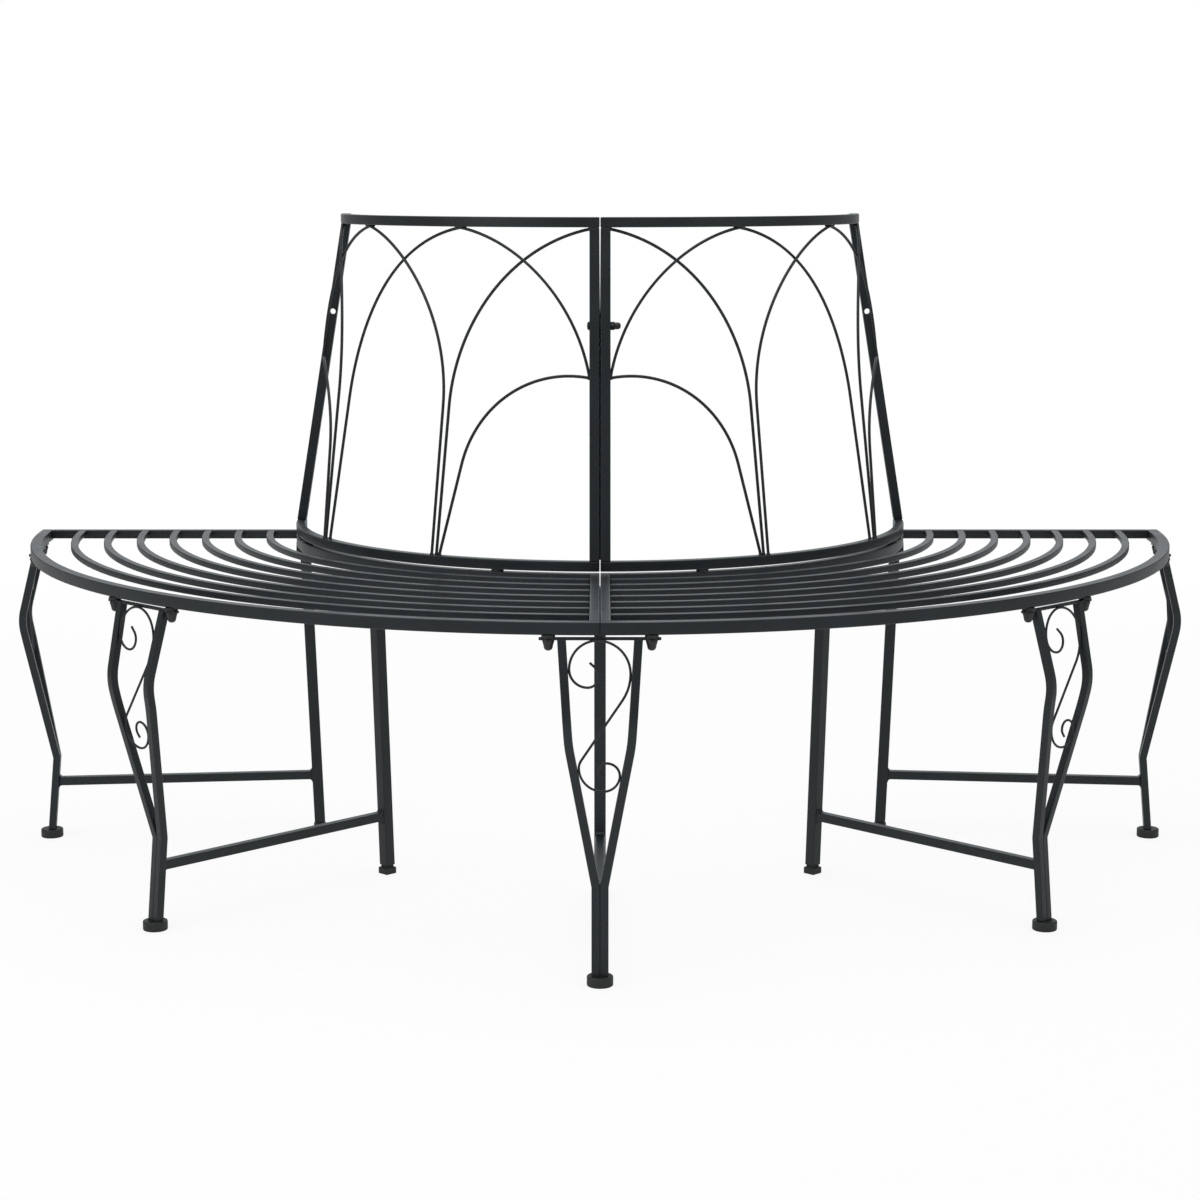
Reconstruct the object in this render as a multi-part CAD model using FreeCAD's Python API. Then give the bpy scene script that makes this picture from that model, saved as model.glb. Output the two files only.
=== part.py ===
import FreeCAD, Part

import os
from math import acos, atan2, ceil, cos, degrees, hypot, pi, radians, sin, sqrt, tan

from FreeCAD import Vector

# Half-round tree bench of powder-coated steel tube, in millimetres.
# It stands on the floor (Z = 0) with its open side facing +Y, and is built round the
# tree's centre line. The last step moves the bottom centre of its box to the origin.
# Right is +X. Angles round the tree start at +X and grow towards the front (-Y).

# Seat
SEAT_OUTER_RADIUS = 800.0
SEAT_INNER_RADIUS = 418.0
SEAT_HEIGHT = 431.0
RAIL_SIZE = 15.0
BAR_SIZE = 12.0
SLAT_COUNT = 7
SLAT_WIDTH = 10.0
SLAT_HEIGHT = 8.0
OUTER_GAP_EXTRA = 7.0
SEAM_GAP = 1.0

# Backrest
TOTAL_HEIGHT = 880.0
BACK_TUBE = 13.0
BACK_LEAN_IN = 69.5
BACK_WIRE = 4.0
ARCH_RADIUS = 232.0
ARCH_REACH = 204.0
ARCH_PITCH = 200.8
LOW_ARCH_RADIUS = 142.0
LOW_ARCH_REACH = 168.0
LOW_ARCH_HEIGHT = 230.0
ARCH_COUNT = 3
BOLT_HOLE = 8.0
BOLT_HEIGHT = 743.0
BACK_BOLT_ANGLE = 18.0
BACK_BOLT_HEAD = 12.0
BACK_BOLT_HEAD_TIP = 9.6
BACK_BOLT_HEAD_HEIGHT = 3.5
SEAM_BOLT_HEAD = 11.0
SEAM_BOLT_HEAD_HEIGHT = 3.0
SEAM_NUT = 12.0
SEAM_NUT_HEIGHT = 5.0
SEAM_CAP = 9.0
SEAM_CAP_HEIGHT = 8.0

# Legs: "out" and "in" are measured from the middle of the seat rail above
LEG_END_ANGLE = 6.3
LEG_TUBE = 10.0
TOP_SPLAY = 88.0
BOW_SPLAY = 72.0
BOW_HEIGHT = 290.0
BOW_RADIUS = 180.0
KNEE_OUT = 23.5
KNEE_HEIGHT = 319.0
KNEE_BEND = 70.0
ANKLE_IN = 15.7
ANKLE_HEIGHT = 116.0
FRONT_FOOT_IN = 5.0
REAR_TUBE = 15.0
REAR_TOP_IN = 4.5
REAR_FOOT_IN = 19.0
STRETCHER_SIZE = 12.0
STRETCHER_HEIGHT = 81.0
WELD = 3.0

# Plates, spacers and caps that fasten the legs to the seat
PLATE_THICKNESS = 1.5
PLATE_WIDTH = 12.0
FRONT_PLATE_LENGTH = 140.0
FRONT_STUD_PITCH = 118.0
REAR_PLATE_WIDTH = 22.0
REAR_PLATE_LENGTH = 60.0
REAR_PLATE_INSET = 3.0
REAR_STUD_PITCH = 44.0
SPACER_SIZE = 16.0
SPACER_THICKNESS = 3.0
CAP_FLANGE = 14.0
CAP_TIP = 9.5
CAP_HEIGHT = 14.0

# Scrolls in the legs: bend radii and turns from the top of the loop both ways
SCROLL_WIRE = 3.0
SCROLL_TOP_SHIFT = -2.9
SCROLL_TOP_OUT = 6.0
SCROLL_LOW_OUT = 11.5
SCROLL_LOW_HEIGHT = 237.0
SCROLL_CURL = 21.0
SCROLL_CURL_END = 13.0
SCROLL_NECK = 54.0
SCROLL_TILT = 34.0
SCROLL_HEEL = 16.0
SCROLL_FOOT = 28.0
SCROLL_LOOP_ANGLE = 85.0
SCROLL_LOOP_END = 15.0
SCROLL_FOOT_END = 9.5
SCROLL_END_ANGLE = 130.0
SCROLL_TIP = 7.0

# Feet
FOOT_DIAMETER = 31.0
FOOT_HEIGHT = 12.0
FOOT_SOLE = 2.0
FOOT_EDGE = 1.5
REAR_FOOT_SIZE = 17.5
REAR_FOOT_HEIGHT = 9.0
REAR_NECK_SIZE = 12.5
REAR_TUBE_BOTTOM = 12.0

# Clearance between pieces that touch or are welded, and how finely rods and discs are faceted
FIT = 0.1
WIRE_SIDES = 6
WIRE_STEP_ANGLE = 14.0
SCROLL_STEP_ANGLE = 44.0
DISC_SIDES = 6
FOOT_SIDES = 12

Z_AXIS = Vector(0, 0, 1)
QUARTER = 90.0

# Heights and radii that several pieces share
outer_rail_centre = SEAT_OUTER_RADIUS - RAIL_SIZE / 2
inner_rail_centre = SEAT_INNER_RADIUS + RAIL_SIZE / 2
inner_rail_outside = SEAT_INNER_RADIUS + RAIL_SIZE
outer_rail_inside = SEAT_OUTER_RADIUS - RAIL_SIZE
rail_underside = SEAT_HEIGHT - RAIL_SIZE
back_foot = SEAT_HEIGHT + SPACER_THICKNESS
back_bottom = back_foot + BACK_TUBE
back_top = TOTAL_HEIGHT - BACK_TUBE
back_bottom_radius = inner_rail_outside - BACK_TUBE / 2
back_top_radius = back_bottom_radius - BACK_LEAN_IN
knee_radius = outer_rail_centre + KNEE_OUT
ankle_radius = outer_rail_centre - ANKLE_IN
front_foot_radius = outer_rail_centre - FRONT_FOOT_IN
rear_top_radius = inner_rail_centre - REAR_TOP_IN
rear_foot_radius = inner_rail_centre - REAR_FOOT_IN
plate_top = rail_underside - SPACER_THICKNESS
plate_underside = plate_top - PLATE_THICKNESS


def block(x0, x1, y0, y1, z0, z1):
    return Part.makeBox(x1 - x0, y1 - y0, z1 - z0, Vector(x0, y0, z0))


def panel_space(edge_x, edge_y):
    """The quarter that a right panel may fill, kept clear of the seam and the open side."""
    reach = 2 * SEAT_OUTER_RADIUS
    return block(edge_x, reach, -reach, edge_y, 0, 2 * TOTAL_HEIGHT)


def mirrored(shape):
    return shape.mirror(Vector(0, 0, 0), Vector(1, 0, 0))


def turned(shape, angle):
    copy = shape.copy()
    copy.rotate(Vector(0, 0, 0), Z_AXIS, angle)
    return copy


def leg_point(radius, side, z):
    """A point of a piece drawn at the front: radius runs towards -Y, side towards +X."""
    return Vector(side, -radius, z)


def arc_bar(centre_radius, width, top, height, edge_x, edge_y):
    """A square bar rolled to a quarter ring and cut square at the seam and at the open side."""
    inner, outer = centre_radius - width / 2, centre_radius + width / 2
    corners = [(inner, top - height), (outer, top - height), (outer, top), (inner, top)]
    section = Part.Face(Part.makePolygon([Vector(x, 0, z) for x, z in corners + corners[:1]]))
    ring = section.revolve(Vector(0, 0, 0), Z_AXIS, -QUARTER)
    return ring.common(panel_space(edge_x, edge_y))


def between_rails(shape):
    """Cut a straight bar to the round faces of the two seat rails."""
    outside = Part.makeCylinder(outer_rail_inside, 2 * SEAT_HEIGHT)
    inside = Part.makeCylinder(inner_rail_outside, 2 * SEAT_HEIGHT)
    return shape.common(outside).cut(inside)


def prism_between(low, high):
    """A straight prism between two level outlines with as many corners."""
    wires = [Part.makePolygon(corners + corners[:1]) for corners in (low, high)]
    return Part.makeLoft(wires, True, True)


def square_at(x, y, z, size_x, size_y):
    half_x, half_y = size_x / 2, size_y / 2
    signs = [(-1, -1), (1, -1), (1, 1), (-1, 1)]
    return [Vector(x + i * half_x, y + j * half_y, z) for i, j in signs]


# Seat panels: two rails, two end bars and the slats between them
def seat_rail(centre_radius):
    return arc_bar(centre_radius, RAIL_SIZE, SEAT_HEIGHT, RAIL_SIZE, SEAM_GAP / 2, 0)


def seat_back_bar():
    low = SEAT_HEIGHT - BAR_SIZE
    return between_rails(block(SEAT_INNER_RADIUS, SEAT_OUTER_RADIUS, -BAR_SIZE, 0, low, SEAT_HEIGHT))


def seat_seam_bar():
    low = SEAT_HEIGHT - BAR_SIZE
    side = SEAM_GAP / 2
    return between_rails(
        block(side, side + BAR_SIZE, -SEAT_OUTER_RADIUS, -SEAT_INNER_RADIUS, low, SEAT_HEIGHT)
    )


def slat_radius(number):
    """Slats are evenly pitched from the inner rail; the gap at the outer rail is a little wider."""
    span = outer_rail_centre - inner_rail_centre - OUTER_GAP_EXTRA
    return inner_rail_centre + number * span / (SLAT_COUNT + 1)


def slat(number):
    return arc_bar(
        slat_radius(number), SLAT_WIDTH, SEAT_HEIGHT, SLAT_HEIGHT, SEAM_GAP / 2 + BAR_SIZE, -BAR_SIZE
    )


# Backrest panels: rolled rails, leaning uprights and arched wires on a cone
def back_radius(z):
    """Radius of the leaning middle surface of the backrest at one height."""
    return back_bottom_radius - BACK_LEAN_IN * (z - back_bottom) / (back_top - back_bottom)


def back_rail(centre_radius, top):
    return arc_bar(centre_radius, BACK_TUBE, top, BACK_TUBE, SEAM_GAP / 2, 0)


def leaning_bar(radius_at, size, low, high):
    """A square bar that leans towards the tree, drawn at the front and centred on X = 0."""
    outline = [leg_point(radius_at(z) + side * size / 2, -size / 2, z)
               for z, side in ((low, -1), (low, 1), (high, 1), (high, -1))]
    return Part.Face(Part.makePolygon(outline + outline[:1])).extrude(Vector(size, 0, 0))


def upright():
    """One leaning side tube of a backrest panel, with its open hole for the joining bolt."""
    bar = leaning_bar(back_radius, BACK_TUBE, back_bottom, back_top)
    start = leg_point(back_radius(BOLT_HEIGHT), -BACK_TUBE, BOLT_HEIGHT)
    return bar.cut(Part.makeCylinder(BOLT_HOLE / 2, 2 * BACK_TUBE, start, Vector(1, 0, 0)))


def end_upright():
    return turned(upright(), QUARTER).translated(Vector(0, -BACK_TUBE / 2, 0))


def seam_upright():
    return upright().translated(Vector(SEAM_GAP / 2 + BACK_TUBE / 2, 0, 0))


def rod_along(points, across, diameter):
    """A bent rod of flat facets through points; across(i) is a direction square to the bend."""
    outlines = []
    for i, point in enumerate(points):
        before, after = points[max(i - 1, 0)], points[min(i + 1, len(points) - 1)]
        along = (after - before).normalize()
        side = along.cross(across(i)).normalize()
        up = side.cross(along).normalize()
        ring = []
        for k in range(WIRE_SIDES):
            turn = 2 * pi * k / WIRE_SIDES
            ring.append(point + (side * cos(turn) + up * sin(turn)) * (diameter / 2))
        outlines.append(Part.makePolygon(ring + ring[:1]))
    return Part.makeLoft(outlines, True, True)


mean_back_radius = (back_bottom_radius + back_top_radius) / 2
arch_span = radians(QUARTER / ARCH_COUNT) * mean_back_radius
panel_span = arch_span * ARCH_COUNT
base_pitch = BACK_WIRE + 2 * FIT
side_of_upright = BACK_TUBE + SEAM_GAP / 2


def on_backrest(flat_x, z, lift):
    """Roll a flat drawing onto the cone: flat_x is measured along the mean radius."""
    angle = flat_x / mean_back_radius
    radius = back_radius(z) + lift
    return Vector(radius * cos(angle), -radius * sin(angle), z)


def limb(start_x, start_z, foot_x, radius, reach):
    """Flat points of a wire that bends down in one arc and then runs straight to its foot.

    The arc turns plumb at reach from the start, or starts level where reach equals radius."""
    centre_x = reach - radius
    centre_z = start_z - sqrt(radius**2 - centre_x**2)
    first = atan2(start_z - centre_z, -centre_x)
    gap_x, gap_z = foot_x - start_x - centre_x, back_bottom - centre_z
    last = atan2(gap_z, gap_x) + acos(min(1.0, radius / hypot(gap_x, gap_z)))
    steps = ceil(degrees(first - last) / WIRE_STEP_ANGLE)
    points = []
    for i in range(steps + 1):
        turn = first + (last - first) * i / steps
        points.append(Vector(start_x + centre_x + radius * cos(turn), 0, centre_z + radius * sin(turn)))
    points.append(Vector(foot_x, 0, back_bottom))
    # both ends run on into the tubes, to be cut flush there
    points.insert(0, points[0] + (points[0] - points[1]).normalize() * BACK_WIRE)
    points.append(points[-1] + (points[-1] - points[-2]).normalize() * BACK_WIRE)
    return points


def back_wire(flat_points, lift):
    def outward(i):
        angle = flat_points[i].x / mean_back_radius
        return Vector(cos(angle), -sin(angle), 0)

    rod = rod_along([on_backrest(p.x, p.z, lift) for p in flat_points], outward, BACK_WIRE)
    inside = block(
        side_of_upright, SEAT_OUTER_RADIUS, -SEAT_OUTER_RADIUS, -BACK_TUBE, back_bottom, back_top
    )
    return rod.common(inside)


def back_wires():
    """Two layers of wires, one the mirror image of the other, that cross as pointed arches."""
    low_start = back_bottom + LOW_ARCH_HEIGHT
    feet = [arch_span, 2 * arch_span - base_pitch, 3 * arch_span]
    limbs = [
        limb(i * ARCH_PITCH, back_top, foot, ARCH_RADIUS, ARCH_REACH) for i, foot in enumerate(feet)
    ]
    low_foot = arch_span - base_pitch
    limbs.append(limb(side_of_upright, low_start, low_foot, LOW_ARCH_RADIUS, LOW_ARCH_REACH))
    layer = BACK_WIRE / 2 + FIT / 2
    wires = [back_wire(points, layer) for points in limbs]
    for points in limbs:
        flipped = [Vector(panel_span - p.x, 0, p.z) for p in points]
        wires.append(back_wire(flipped, -layer))
    return wires


# Legs, drawn for the front leg and then turned to their places
def bent_line(corners, bends):
    """Straight runs that meet in tangent arcs of the given radii, or sharply where it is 0."""
    edges = []
    start = corners[0]
    for i, bend in enumerate(bends, 1):
        back, on = corners[i - 1] - corners[i], corners[i + 1] - corners[i]
        half = back.getAngle(on) / 2
        back.normalize()
        on.normalize()
        first = corners[i] + back * (bend / tan(half))
        last = corners[i] + on * (bend / tan(half))
        middle = corners[i] + (back + on).normalize() * (bend / sin(half) - bend)
        edges.append(Part.makeLine(start, first))
        if bend:
            edges.append(Part.Arc(first, middle, last).toShape())
        start = last
    edges.append(Part.makeLine(start, corners[-1]))
    return edges


def bent_strip(corners, bends, width):
    """A flat strip that follows a bent line in the XZ plane and has level ends."""
    runs = [(b - a).normalize() for a, b in zip(corners, corners[1:])]
    normals = [Vector(-run.z, 0, run.x) for run in runs]
    sides = []
    edges = []
    for half in (-width / 2, width / 2):
        line = [corners[0] + Vector(half / normals[0].x, 0, 0)]
        radii = []
        for corner, bend, before, after in zip(corners[1:], bends, normals, normals[1:]):
            line.append(corner + (before + after) * (half / (1 + before * after)))
            turns_left = before.x * after.z > before.z * after.x
            radii.append(bend and (bend - half if turns_left else bend + half))
        line.append(corners[-1] + Vector(half / normals[-1].x, 0, 0))
        edges += bent_line(line, radii)
        sides.append(line)
    for end in (0, -1):
        edges.append(Part.makeLine(sides[0][end], sides[1][end]))
    return Part.Face(Part.Wire(Part.__sortEdges__(edges)))


def front_tube(side):
    """One of the two bent front tubes: they bow out to the knee and meet at the ankle."""
    levels = [plate_underside, KNEE_HEIGHT, ANKLE_HEIGHT, FOOT_SOLE]
    radii = [outer_rail_centre, knee_radius, ankle_radius, front_foot_radius]
    bow_levels = [plate_underside, BOW_HEIGHT, ANKLE_HEIGHT, FOOT_SOLE]
    splays = [TOP_SPLAY / 2, BOW_SPLAY / 2, LEG_TUBE / 2, LEG_TUBE / 2]
    bow = [Vector(side * x, 0, z) for x, z in zip(splays, bow_levels)]
    front = bent_strip(bow, [BOW_RADIUS, 0], LEG_TUBE)
    profile = bent_strip([Vector(x, 0, z) for x, z in zip(radii, levels)], [KNEE_BEND, 0], LEG_TUBE)
    seen_from_front = front.extrude(Vector(0, -2 * SEAT_OUTER_RADIUS, 0))
    seen_from_side = profile.extrude(Vector(0, 2 * TOP_SPLAY, 0))
    seen_from_side.translate(Vector(0, -TOP_SPLAY, 0))
    return seen_from_front.common(turned(seen_from_side, -QUARTER)).Solids[0]


column_slope = (front_foot_radius - ankle_radius) / (ANKLE_HEIGHT - FOOT_SOLE)


def column_back(z):
    """Radius of the rear face of the two joined front tubes below the ankle."""
    middle = ankle_radius + (ANKLE_HEIGHT - z) * column_slope
    return middle - LEG_TUBE / 2 * hypot(1, column_slope)


def rear_radius(z):
    share = z / plate_underside
    return rear_foot_radius + (rear_top_radius - rear_foot_radius) * share


def rear_tube():
    return leaning_bar(rear_radius, REAR_TUBE, REAR_TUBE_BOTTOM, plate_underside)


def stretcher():
    """The tie between the front column and the rear tube, flared where its welds are."""
    low, high = STRETCHER_HEIGHT - STRETCHER_SIZE / 2, STRETCHER_HEIGHT + STRETCHER_SIZE / 2

    def rear(z):
        return rear_radius(z) + REAR_TUBE / 2

    outline = [
        (column_back(high + WELD), high + WELD),
        (column_back(high) - WELD, high),
        (rear(high) + WELD, high),
        (rear(high + WELD), high + WELD),
        (rear(low - WELD), low - WELD),
        (rear(low) + WELD, low),
        (column_back(low) - WELD, low),
        (column_back(low - WELD), low - WELD),
    ]
    half = STRETCHER_SIZE / 2
    face = Part.Face(Part.makePolygon([leg_point(r, -half, z) for r, z in outline + outline[:1]]))
    return face.extrude(Vector(STRETCHER_SIZE, 0, 0))


def stud_sites(radius, pitch):
    return [leg_point(radius, side * pitch / 2, 0) for side in (-1, 1)]


def top_plate(radius, length, width):
    return block(-length / 2, length / 2, -radius - width / 2, -radius + width / 2,
                 plate_underside, plate_top)


upper_slope = (TOP_SPLAY - BOW_SPLAY) / 2 / (plate_underside - BOW_HEIGHT)
lower_slope = (BOW_SPLAY - LEG_TUBE) / 2 / (BOW_HEIGHT - ANKLE_HEIGHT)
scroll_touch = SCROLL_WIRE / 2 + FIT


def gap_to_tube(x, z, slope):
    """Distance from a point to the inner face of the front tube on the +X side."""
    tube_x = BOW_SPLAY / 2 + (z - BOW_HEIGHT) * slope
    return (tube_x - x) / hypot(1, slope) - LEG_TUBE / 2


def bent_wire(start, heading, bends):
    """Flat points of a wire made of (straight run, bend radius, turn) steps; left turns are > 0."""
    points = [start]
    for run, radius, turn in bends:
        heading_angle = radians(heading)
        corner = points[-1] + Vector(cos(heading_angle), 0, sin(heading_angle)) * run
        side = radius if turn > 0 else -radius
        centre = corner + Vector(-sin(heading_angle), 0, cos(heading_angle)) * side
        if run:
            points.append(corner)
        steps = ceil(abs(turn) / SCROLL_STEP_ANGLE)
        for i in range(1, steps + 1):
            angle = radians(heading + turn * i / steps)
            points.append(centre + Vector(sin(angle), 0, -cos(angle)) * side)
        heading += turn
    return points


def scroll_points():
    """An S scroll that touches the plate and both tubes above, and both tubes again below."""
    top = Vector(SCROLL_TOP_SHIFT, 0, plate_underside - scroll_touch)
    share = hypot(1, upper_slope) / (hypot(1, upper_slope) + upper_slope)
    right = gap_to_tube(top.x, plate_underside, upper_slope) * share - scroll_touch
    left = gap_to_tube(-top.x, plate_underside, upper_slope) * share - scroll_touch
    curl = [
        (0, left, QUARTER),
        (0, SCROLL_CURL, QUARTER),
        (0, SCROLL_CURL_END, SCROLL_END_ANGLE),
    ]
    tip = [(SCROLL_TIP, SCROLL_CURL_END, 0)]
    behind = bent_wire(top, 2 * QUARTER, curl + tip)

    # the straight run is as long as it takes for the lower loop to reach the other tube
    neck = [(0, right, -QUARTER), (0, SCROLL_NECK, -SCROLL_TILT)]
    heel = bent_wire(top, 0, neck + [(0, SCROLL_HEEL, SCROLL_TILT)])[-1]
    spare = gap_to_tube(-heel.x - SCROLL_FOOT, heel.z, lower_slope) - SCROLL_FOOT - scroll_touch
    tilt = radians(SCROLL_TILT)
    run = spare / ((cos(tilt) * lower_slope + sin(tilt)) / hypot(1, lower_slope))

    foot = [(run, SCROLL_HEEL, SCROLL_TILT), (0, SCROLL_FOOT, QUARTER)]
    low = bent_wire(top, 0, neck + foot)[-1]
    share = hypot(1, lower_slope) / (hypot(1, lower_slope) - lower_slope)
    loop = (gap_to_tube(low.x, low.z, lower_slope) - scroll_touch) * share
    end = [
        (0, loop, SCROLL_LOOP_ANGLE),
        (0, SCROLL_LOOP_END, 2 * QUARTER - SCROLL_LOOP_ANGLE),
        (0, SCROLL_FOOT_END, SCROLL_END_ANGLE),
    ]
    return behind[:0:-1] + bent_wire(top, 0, neck + foot + end + tip)


def scroll():
    top_radius = outer_rail_centre + SCROLL_TOP_OUT
    lean = (SCROLL_LOW_OUT - SCROLL_TOP_OUT) / (plate_underside - SCROLL_LOW_HEIGHT)
    points = [
        leg_point(top_radius + (plate_underside - p.z) * lean, p.x, p.z) for p in scroll_points()
    ]
    return rod_along(points, lambda i: Vector(0, 1, 0), SCROLL_WIRE)


def disc(site, top_size, low_size, top, low, sides=DISC_SIDES):
    """A small round piece, tapered or not, drawn with a few flats."""
    outlines = []
    for z, size in ((low, low_size), (top, top_size)):
        turns = [2 * pi * (k + 0.5) / sides for k in range(sides)]
        ring = [Vector(site.x + size / 2 * cos(t), site.y + size / 2 * sin(t), z) for t in turns]
        outlines.append(ring)
    return prism_between(*outlines)


def spacer(site):
    return disc(site, SPACER_SIZE, SPACER_SIZE, rail_underside, plate_top)


def cap(site):
    return disc(site, CAP_FLANGE, CAP_TIP, plate_underside, plate_underside - CAP_HEIGHT)


def front_foot():
    """A round plastic foot with a level rim and a socket for the two tubes."""
    site = leg_point(front_foot_radius, 0, 0)
    shoulder = FOOT_HEIGHT - FOOT_EDGE
    rim = FOOT_DIAMETER - 2 * FOOT_EDGE
    body = disc(site, FOOT_DIAMETER, FOOT_DIAMETER, shoulder, 0, FOOT_SIDES)
    foot = body.fuse(disc(site, rim, FOOT_DIAMETER, FOOT_HEIGHT, shoulder, FOOT_SIDES))
    return foot.cut(front_tube(-1)).cut(front_tube(1))


def rear_foot():
    """A square plastic plug: its neck fills the tube's end and its wide head stands on the floor."""
    middle = leg_point(rear_radius(REAR_TUBE_BOTTOM), 0, 0)
    sizes = [
        (0, REAR_FOOT_SIZE - 2 * FOOT_EDGE),
        (FOOT_EDGE, REAR_FOOT_SIZE),
        (REAR_FOOT_HEIGHT, REAR_FOOT_SIZE),
    ]
    rings = [square_at(middle.x, middle.y, z, size, size) for z, size in sizes]
    half = REAR_NECK_SIZE / 2
    neck = block(-half, half, middle.y - half, middle.y + half, REAR_FOOT_HEIGHT, REAR_TUBE_BOTTOM)
    return prism_between(*rings[:2]).fuse(prism_between(*rings[1:])).fuse(neck)


def back_bolt_sites():
    """The four places where bolts from below hold the backrest on the inner seat rail."""
    sites = []
    for angle in (BACK_BOLT_ANGLE, QUARTER - BACK_BOLT_ANGLE):
        x, y = inner_rail_centre * cos(radians(angle)), -inner_rail_centre * sin(radians(angle))
        sites += [Vector(x, y, 0), Vector(-x, y, 0)]
    return sites


def back_spacer(site):
    return disc(site, SPACER_SIZE, SPACER_SIZE, back_foot, SEAT_HEIGHT)


def back_bolt_head(site):
    low = rail_underside - BACK_BOLT_HEAD_HEIGHT
    return disc(site, BACK_BOLT_HEAD, BACK_BOLT_HEAD_TIP, rail_underside, low)


def along_seam_bolt(start, size, length):
    """A small round piece on the axis of the bolt that joins the two backrest panels."""
    turning = disc(Vector(0, 0, 0), size, size, length, 0)
    turning.rotate(Vector(0, 0, 0), Vector(0, 1, 0), QUARTER)
    return turning.translated(leg_point(back_radius(BOLT_HEIGHT), start, BOLT_HEIGHT))


seam_outside = SEAM_GAP / 2 + BACK_TUBE
seam_shank_end = seam_outside + SEAM_NUT_HEIGHT


def seam_shank():
    return along_seam_bolt(-seam_outside, BOLT_HOLE - 2 * FIT, seam_outside + seam_shank_end)


def seam_bolt():
    head = along_seam_bolt(-seam_outside - SEAM_BOLT_HEAD_HEIGHT, SEAM_BOLT_HEAD, SEAM_BOLT_HEAD_HEIGHT)
    return head.fuse(seam_shank())


def seam_nut():
    return along_seam_bolt(seam_outside, SEAM_NUT, SEAM_NUT_HEIGHT).cut(seam_shank())


def seam_nut_cap():
    return along_seam_bolt(seam_shank_end, SEAM_CAP, SEAM_CAP_HEIGHT)


parts = {}


def both_sides(name, shape):
    parts["right_" + name] = [shape]
    parts["left_" + name] = [mirrored(shape)]


both_sides("seat_outer_rail", seat_rail(outer_rail_centre))
both_sides("seat_inner_rail", seat_rail(inner_rail_centre))
both_sides("seat_back_bar", seat_back_bar())
both_sides("seat_seam_bar", seat_seam_bar())
for number in range(1, SLAT_COUNT + 1):
    row = slat(number)
    parts[f"seat_slats_row_{number}"] = [mirrored(row), row]

both_sides("backrest_bottom_rail", back_rail(back_bottom_radius, back_bottom))
both_sides("backrest_top_rail", back_rail(back_top_radius, TOTAL_HEIGHT))
both_sides("backrest_end_upright", end_upright())
both_sides("backrest_seam_upright", seam_upright())
wires = back_wires()
parts["right_backrest_wires"] = wires
parts["left_backrest_wires"] = [mirrored(wire) for wire in wires]

parts["backrest_spacers"] = [back_spacer(site) for site in back_bolt_sites()]
parts["backrest_bolts"] = [back_bolt_head(site) for site in back_bolt_sites()]
parts["seam_bolt"] = [seam_bolt()]
parts["seam_nut"] = [seam_nut()]
parts["seam_nut_cap"] = [seam_nut_cap()]

leg_turns = {
    "left_end": LEG_END_ANGLE - QUARTER,
    "left_middle": -QUARTER / 2,
    "front": 0.0,
    "right_middle": QUARTER / 2,
    "right_end": QUARTER - LEG_END_ANGLE,
}

leg_pieces = {
    "left_tube": front_tube(-1),
    "right_tube": front_tube(1),
    "rear_tube": rear_tube(),
    "stretcher": stretcher(),
}
front_sites = stud_sites(outer_rail_centre, FRONT_STUD_PITCH)
rear_sites = stud_sites(inner_rail_centre, REAR_STUD_PITCH)
shared_pieces = {
    "leg_front_plates": [top_plate(outer_rail_centre, FRONT_PLATE_LENGTH, PLATE_WIDTH)],
    "leg_rear_plates": [
        top_plate(inner_rail_centre - REAR_PLATE_INSET, REAR_PLATE_LENGTH, REAR_PLATE_WIDTH)
    ],
    "leg_scrolls": [scroll()],
    "leg_spacers": [spacer(site) for site in front_sites + rear_sites],
    "leg_cap_nuts": [cap(site) for site in front_sites + rear_sites],
    "front_feet": [front_foot()],
    "rear_feet": [rear_foot()],
}
for leg, angle in leg_turns.items():
    for name, shape in leg_pieces.items():
        parts[f"{leg}_leg_{name}"] = [turned(shape, angle)]
for name, shapes in shared_pieces.items():
    parts[name] = [turned(shape, angle) for angle in leg_turns.values() for shape in shapes]

# The open side is at +Y = 0 here and the knee of the front leg reaches furthest forward.
knee_front = parts["front_leg_left_tube"][0].optimalBoundingBox(False, False).YMin
shift = Vector(0, -knee_front / 2, 0)

os.makedirs("parts", exist_ok=True)
for name, shapes in parts.items():
    solids = [solid.translated(shift) for shape in shapes for solid in shape.Solids]
    whole = solids[0] if len(solids) == 1 else Part.makeCompound(solids)
    whole.exportStep(f"parts/{name}.step")
print(len(parts), "nodes,", "tree centre line at Y =", round(shift.y, 3))
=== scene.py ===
# %% [markdown]
# # A half-round tree bench in powder-coated steel
#
# This lesson dresses the solid model of a tree bench. The bench is two quarter-round
# panels of square tube with rolled slats, a leaning backrest of arched wires, and five
# legs with wire scrolls. The solid model gives every size and place. Here the tubes get
# their rounded corners, the wires become round, the plastic feet and caps get their
# moulded shapes, and every surface gets its finish.

# %% Load the frame
from math import acos, atan2, ceil, cos, hypot, pi, radians, sin, sqrt

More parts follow.
